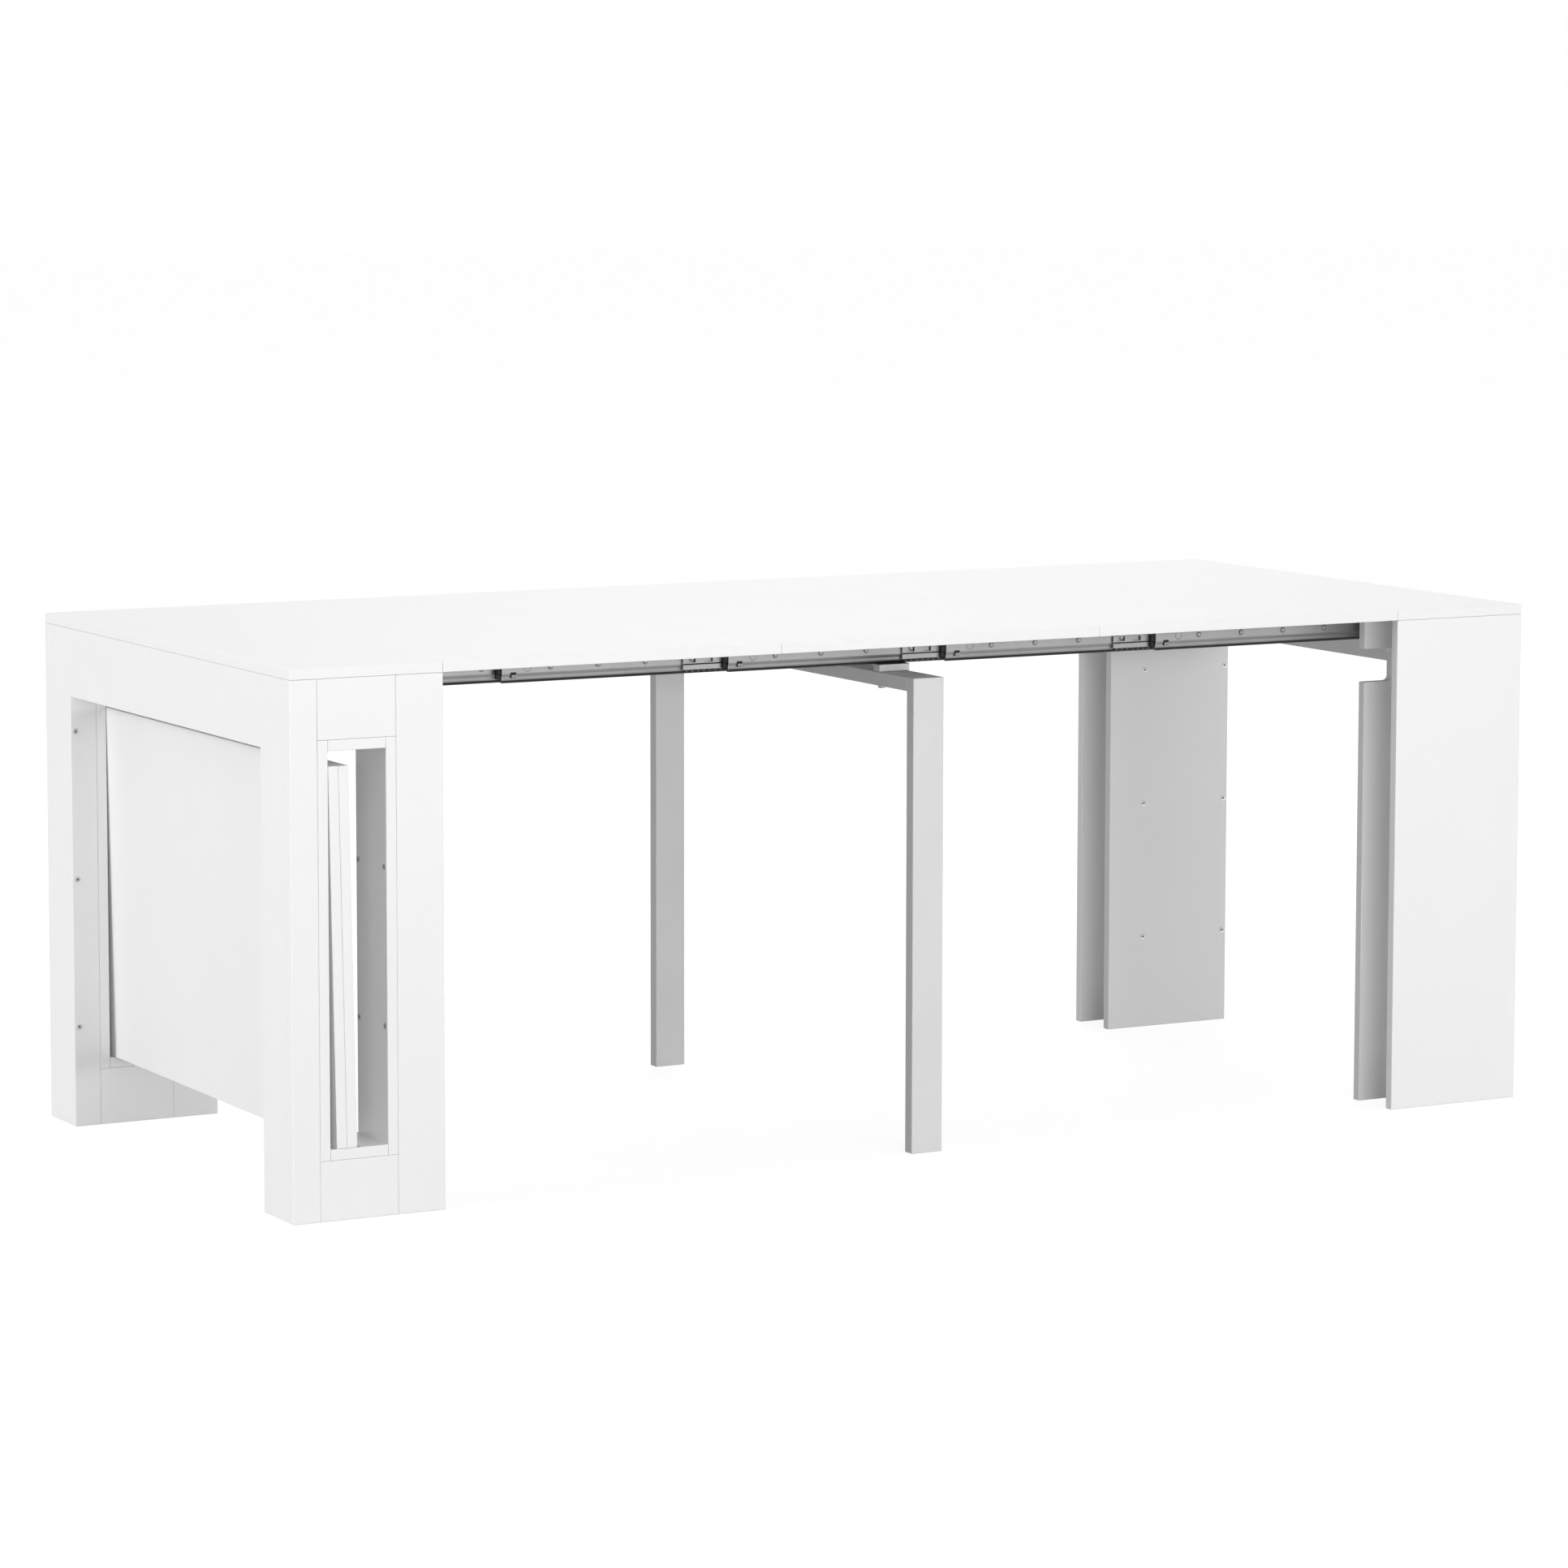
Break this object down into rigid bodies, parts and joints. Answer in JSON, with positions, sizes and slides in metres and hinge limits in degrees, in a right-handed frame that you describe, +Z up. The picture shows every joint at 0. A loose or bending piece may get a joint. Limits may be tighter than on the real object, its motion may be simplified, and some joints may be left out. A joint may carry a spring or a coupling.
{
  "type": "extending dining table",
  "caption": "White board dining table on telescopic slides that extends to take loose leaves, with spare leaves stored in slots through its wide left legs and a metal centre frame.",
  "frame": {"origin": "on the floor under the middle of the table's box at rest", "axes": "+X along the table from the left unit to the right unit that pulls out, +Z up, near long side at -Y"},
  "size_m": [2.0078, 0.8996, 0.75],
  "materials": {
    "white_lacquer": "satin white lacquered board",
    "grey_steel": "satin grey paint",
    "zinc": "zinc plated pressed sheet"
  },
  "bodies": {
    "base": {"left_top": "white_lacquer", "left_apron": "white_lacquer", "near_left_front_outer": "white_lacquer", "near_left_front_inner": "white_lacquer", "near_left_front_board": "white_lacquer", "near_left_rear_outer": "white_lacquer", "near_left_rear_inner": "white_lacquer", "near_left_slot_liner": "white_lacquer", "near_left_top_filler": "white_lacquer", "near_left_bottom_filler": "white_lacquer", "far_left_front_outer": "white_lacquer", "far_left_front_inner": "white_lacquer", "far_left_front_board": "white_lacquer", "far_left_rear_outer": "white_lacquer", "far_left_rear_inner": "white_lacquer", "far_left_slot_liner": "white_lacquer", "far_left_top_filler": "white_lacquer", "far_left_bottom_filler": "white_lacquer", "near_left_bearer": "white_lacquer", "far_left_bearer": "white_lacquer", "near_slide_0": "zinc", "far_slide_0": "zinc", "near_runner_1": "zinc", "far_runner_1": "zinc"},
    "stage_1": {"near_slide_1": "zinc", "far_slide_1": "zinc", "near_runner_2": "zinc", "far_runner_2": "zinc"},
    "centre_frame": {"near_slide_2": "zinc", "far_slide_2": "zinc", "near_runner_3": "zinc", "far_runner_3": "zinc", "near_centre_leg": "grey_steel", "far_centre_leg": "grey_steel", "centre_crossbar": "grey_steel", "near_spacer_block": "zinc", "far_spacer_block": "zinc"},
    "stage_3": {"near_slide_3": "zinc", "far_slide_3": "zinc", "near_runner_4": "zinc", "far_runner_4": "zinc"},
    "end_unit": {"right_top": "white_lacquer", "right_apron": "white_lacquer", "near_right_outer_board": "white_lacquer", "near_right_inner_board": "white_lacquer", "near_right_spacer": "white_lacquer", "near_right_end_board": "white_lacquer", "far_right_outer_board": "white_lacquer", "far_right_inner_board": "white_lacquer", "far_right_spacer": "white_lacquer", "far_right_end_board": "white_lacquer", "near_right_bearer": "white_lacquer", "far_right_bearer": "white_lacquer", "near_slide_4": "zinc", "far_slide_4": "zinc"},
    "leaf_1_body": {"leaf_1": "white_lacquer"},
    "leaf_2_body": {"leaf_2": "white_lacquer"},
    "leaf_3_body": {"leaf_3": "white_lacquer"},
    "stored_leaf_1_body": {"stored_leaf_1": "white_lacquer"},
    "stored_leaf_2_body": {"stored_leaf_2": "white_lacquer"}
  },
  "joints": [
    {"name": "extension", "type": "slide", "parent": "base", "child": "end_unit", "axis": [1, 0, 0], "range_m": [0, 1.0388]},
    {"name": "stage_1_slide", "type": "slide", "parent": "base", "child": "stage_1", "axis": [1, 0, 0], "range_m": [0, 0.26]},
    {"name": "centre_frame_slide", "type": "slide", "parent": "base", "child": "centre_frame", "axis": [1, 0, 0], "range_m": [0, 0.52]},
    {"name": "stage_3_slide", "type": "slide", "parent": "base", "child": "stage_3", "axis": [1, 0, 0], "range_m": [0, 0.78]},
    {"name": "leaf_1_lift", "type": "slide", "parent": "base", "child": "leaf_1_body", "axis": [0, 0, 1], "range_m": [0, 0.25]},
    {"name": "leaf_2_lift", "type": "slide", "parent": "base", "child": "leaf_2_body", "axis": [0, 0, 1], "range_m": [0, 0.25]},
    {"name": "leaf_3_lift", "type": "slide", "parent": "base", "child": "leaf_3_body", "axis": [0, 0, 1], "range_m": [0, 0.25]},
    {"name": "stored_leaf_1_slide", "type": "slide", "parent": "base", "child": "stored_leaf_1_body", "axis": [0, -1, 0], "range_m": [-0.92, 0.92]},
    {"name": "stored_leaf_2_slide", "type": "slide", "parent": "base", "child": "stored_leaf_2_body", "axis": [0, -1, 0], "range_m": [-0.92, 0.92]}
  ],
  "couplings": [
    {"joint": "stage_1_slide", "follows": "extension", "ratio": 0.25},
    {"joint": "centre_frame_slide", "follows": "extension", "ratio": 0.5},
    {"joint": "stage_3_slide", "follows": "extension", "ratio": 0.75}
  ]
}
